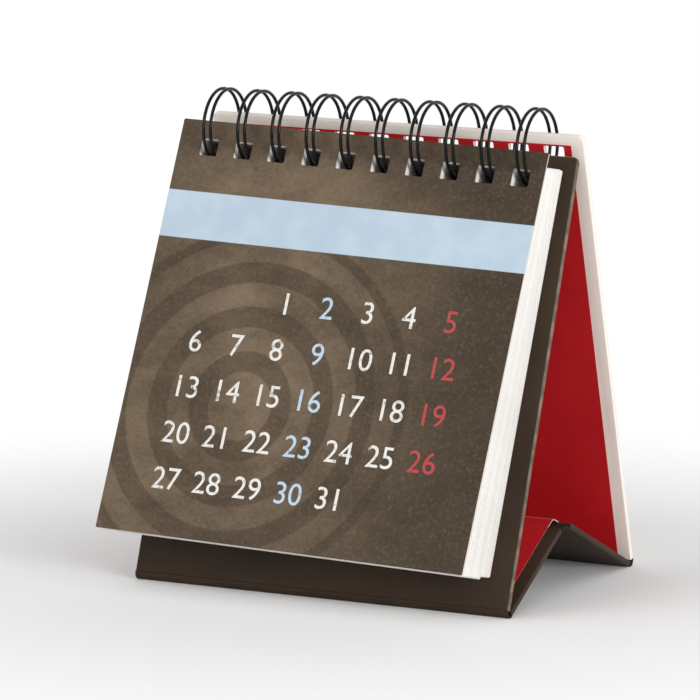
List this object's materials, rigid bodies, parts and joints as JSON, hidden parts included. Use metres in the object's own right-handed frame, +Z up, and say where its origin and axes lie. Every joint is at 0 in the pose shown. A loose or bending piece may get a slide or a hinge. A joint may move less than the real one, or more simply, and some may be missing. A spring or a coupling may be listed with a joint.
{
  "type": "desk calendar",
  "caption": "Flip-over desk calendar: leaf packets and a printed cover turn on a black twin-loop wire over a folding easel of paper-wrapped boards with an inverted-V base.",
  "frame": {"origin": "centre of the bounding box at floor level", "axes": "X across the calendar, front faces -Y, Z up"},
  "size_m": [0.1418, 0.113, 0.1584],
  "materials": {
    "greyboard": "uncoated grey bookbinding board",
    "brown_wrap": "matt dark brown printed paper",
    "cream_wrap": "matt cream printed paper",
    "red_liner": "matt deep red printed paper",
    "black_wire": "black nylon-coated steel wire, semi-gloss",
    "leaf_paper": "stacked white offset paper edges",
    "cover_print": "printed card, chalkboard brown with a pale blue band"
  },
  "bodies": {
    "easel_front": {"front_board": "greyboard", "front_wrap": "brown_wrap", "front_liner": "red_liner", "front_fold_strip": "brown_wrap", "twin_loop_wire": "black_wire"},
    "easel_back": {"back_board": "greyboard", "back_wrap": "cream_wrap", "back_liner": "red_liner", "rear_fold_strip": "brown_wrap"},
    "base_front": {"base_front_board": "greyboard", "base_front_wrap": "brown_wrap", "base_front_liner": "red_liner", "ridge_liner": "red_liner", "ridge_wrap": "brown_wrap"},
    "base_rear": {"base_rear_board": "greyboard", "base_rear_wrap": "brown_wrap", "base_rear_liner": "red_liner"},
    "packet_1": {"leaf_packet_1": "leaf_paper"},
    "packet_2": {"leaf_packet_2": "leaf_paper"},
    "packet_3": {"leaf_packet_3": "leaf_paper"},
    "packet_4": {"leaf_packet_4": "leaf_paper"},
    "packet_5": {"leaf_packet_5": "leaf_paper"},
    "packet_6": {"leaf_packet_6": "leaf_paper"},
    "cover": {"front_cover": "cover_print"}
  },
  "joints": [
    {"name": "stand_fold", "type": "hinge", "parent": "easel_front", "child": "easel_back", "pos_m": [0, 0.00592, 0.14545], "axis": [-1, 0, 0], "range_deg": [0, 31]},
    {"name": "base_front_fold", "type": "hinge", "parent": "easel_front", "child": "base_front", "pos_m": [0, -0.03706, 0.0021], "axis": [1, 0, 0], "range_deg": [0, 39.71], "deforming": ["ridge_liner", "ridge_wrap"]},
    {"name": "base_rear_fold", "type": "hinge", "parent": "easel_back", "child": "base_rear", "pos_m": [0, 0.05431, 0.0021], "axis": [-1, 0, 0], "range_deg": [0, 49.41]},
    {"name": "packet_1_turn", "type": "hinge", "parent": "easel_front", "child": "packet_1", "pos_m": [0, 0.00592, 0.14545], "axis": [-1, 0, 0], "range_deg": [0, 180]},
    {"name": "packet_2_turn", "type": "hinge", "parent": "packet_1", "child": "packet_2", "pos_m": [0, 0.00592, 0.14545], "axis": [-1, 0, 0], "range_deg": [0, 180]},
    {"name": "packet_3_turn", "type": "hinge", "parent": "packet_2", "child": "packet_3", "pos_m": [0, 0.00592, 0.14545], "axis": [-1, 0, 0], "range_deg": [0, 180]},
    {"name": "packet_4_turn", "type": "hinge", "parent": "packet_3", "child": "packet_4", "pos_m": [0, 0.00592, 0.14545], "axis": [-1, 0, 0], "range_deg": [0, 180]},
    {"name": "packet_5_turn", "type": "hinge", "parent": "packet_4", "child": "packet_5", "pos_m": [0, 0.00592, 0.14545], "axis": [-1, 0, 0], "range_deg": [0, 180]},
    {"name": "packet_6_turn", "type": "hinge", "parent": "packet_5", "child": "packet_6", "pos_m": [0, 0.00592, 0.14545], "axis": [-1, 0, 0], "range_deg": [0, 180]},
    {"name": "cover_turn", "type": "hinge", "parent": "packet_6", "child": "cover", "pos_m": [0, 0.00592, 0.14545], "axis": [-1, 0, 0], "range_deg": [0, 180]}
  ],
  "couplings": [
    {"joint": "base_front_fold", "follows": "stand_fold", "ratio": 1.2806},
    {"joint": "base_rear_fold", "follows": "stand_fold", "ratio": 1.5935}
  ]
}
